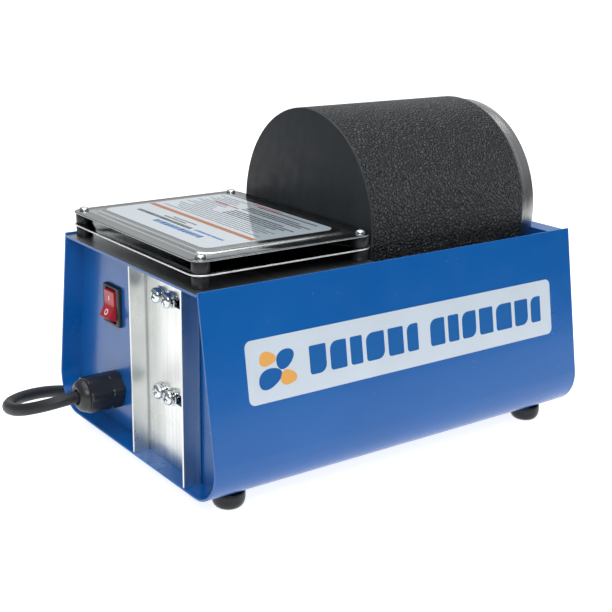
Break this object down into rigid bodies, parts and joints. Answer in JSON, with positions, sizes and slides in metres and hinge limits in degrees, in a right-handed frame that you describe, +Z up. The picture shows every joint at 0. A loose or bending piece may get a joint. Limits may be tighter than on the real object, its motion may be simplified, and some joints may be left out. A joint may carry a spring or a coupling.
{
  "type": "rotary rock tumbler",
  "caption": "Rotary rock tumbler: a rubber barrel with a steel lid lies on two rollers in a blue steel housing with a motor, rocker switch and mains cord.",
  "frame": {"origin": "on the floor, below the middle of the housing", "axes": "+X along the barrel's axis from the switch end to the lid end; +Z up; the side with the long label faces -Y"},
  "size_m": [0.3414, 0.3267, 0.215],
  "materials": {
    "blue_paint": "glossy blue powder coat with a fine orange peel",
    "polished_steel": "polished stainless sheet",
    "black_spacer": "satin black",
    "zinc": "bright zinc plate",
    "label_white": "glossy printed sticker",
    "foot_rubber": "satin black rubber",
    "channel_aluminium": "mill finish",
    "belt_rubber": "smooth round belt",
    "nylon": "natural nylon",
    "switch_black": "fine moulded texture",
    "switch_red": "moulded red",
    "brass_pins": "bright brass",
    "gland_black": "satin nylon",
    "cord_black": "satin jacket",
    "wire_sleeve": "insulated wire",
    "laminated_steel": "stacked laminations",
    "copper_winding": "enamelled copper",
    "cast_alloy": "die cast",
    "ground_steel": "ground shaft",
    "fan_plastic": "moulded",
    "roller_rubber": "smooth sleeve",
    "barrel_rubber": "moulded rubber with a pebbled grain on its side",
    "brushed_lid": "brushed round"
  },
  "bodies": {
    "housing": {"outer_shell": "blue_paint", "left_end_panel": "blue_paint", "right_end_panel": "blue_paint", "bulkhead": "blue_paint", "motor_deck": "blue_paint", "lower_top_plate": "polished_steel", "upper_top_plate": "polished_steel", "lower_standoffs": "black_spacer", "upper_standoffs": "black_spacer", "top_plate_screws": "zinc", "instruction_label": "label_white", "side_label": "label_white", "rubber_feet": "foot_rubber", "foot_screws": "zinc", "motor_mount_channel": "channel_aluminium", "drive_belt": "belt_rubber", "shaft_bearings": "nylon", "thrust_button": "nylon", "switch_body": "switch_black", "switch_terminals": "brass_pins", "gland_body": "gland_black", "gland_cap": "gland_black", "gland_locknut": "gland_black", "cord_end": "cord_black", "lead_wires": "wire_sleeve", "wire_caps": "nylon", "earth_stud": "zinc", "cord_run": "cord_black", "cord_coil": "cord_black", "cord_tail": "cord_black", "plug_body": "cord_black", "plug_pins": "brass_pins"},
    "motor_carriage": {"motor_bracket": "zinc", "slot_screws": "zinc", "slot_spring_washers": "zinc", "slot_washers": "zinc", "bracket_nuts": "zinc", "stator_core": "laminated_steel", "stator_coil": "copper_winding", "front_bridge": "cast_alloy", "rear_bridge": "cast_alloy", "motor_bolts": "zinc"},
    "rotor": {"rotor_core": "laminated_steel", "motor_shaft": "ground_steel", "motor_pulley": "cast_alloy", "cooling_fan": "fan_plastic"},
    "drive_roller": {"drive_shaft": "ground_steel", "drive_sleeve": "roller_rubber", "drive_pulley": "fan_plastic", "drive_clips": "zinc"},
    "idler_roller": {"idler_shaft": "ground_steel", "idler_sleeve": "roller_rubber", "idler_clips": "zinc"},
    "drum": {"barrel": "barrel_rubber", "inner_lid": "polished_steel", "outer_lid": "brushed_lid", "lid_stud": "zinc", "lid_washer": "zinc"},
    "lid_hand_nut": {"lid_nut": "zinc"},
    "rocker": {"switch_rocker": "switch_red"}
  },
  "joints": [
    {"name": "drum_spin", "type": "hinge", "parent": "housing", "child": "drum", "pos_m": [0.05, 0, 0.145], "axis": [1, 0, 0], "continuous": true},
    {"name": "drive_roller_spin", "type": "hinge", "parent": "housing", "child": "drive_roller", "pos_m": [0.05, 0.05, 0.08089], "axis": [1, 0, 0], "continuous": true},
    {"name": "idler_roller_spin", "type": "hinge", "parent": "housing", "child": "idler_roller", "pos_m": [0.05, -0.05, 0.08089], "axis": [1, 0, 0], "continuous": true},
    {"name": "belt_tension_slide", "type": "slide", "parent": "housing", "child": "motor_carriage", "axis": [0, -1, 0], "range_m": [0, 0.012], "deforming": ["drive_belt", "lead_wires"]},
    {"name": "motor_spin", "type": "hinge", "parent": "motor_carriage", "child": "rotor", "pos_m": [-0.09, -0.02725, 0.086], "axis": [1, 0, 0], "continuous": true},
    {"name": "lid_nut_turn", "type": "hinge", "parent": "drum", "child": "lid_hand_nut", "pos_m": [0.128, 0, 0.145], "axis": [1, 0, 0], "continuous": true},
    {"name": "switch_rocker_tilt", "type": "hinge", "parent": "housing", "child": "rocker", "pos_m": [-0.1318, 0.0425, 0.0935], "axis": [0, -1, 0], "range_deg": [0, 24]}
  ],
  "couplings": [
    {"joint": "drive_roller_spin", "follows": "drum_spin", "ratio": -6.3636},
    {"joint": "idler_roller_spin", "follows": "drum_spin", "ratio": -6.3636},
    {"joint": "motor_spin", "follows": "drum_spin", "ratio": -27.273}
  ]
}
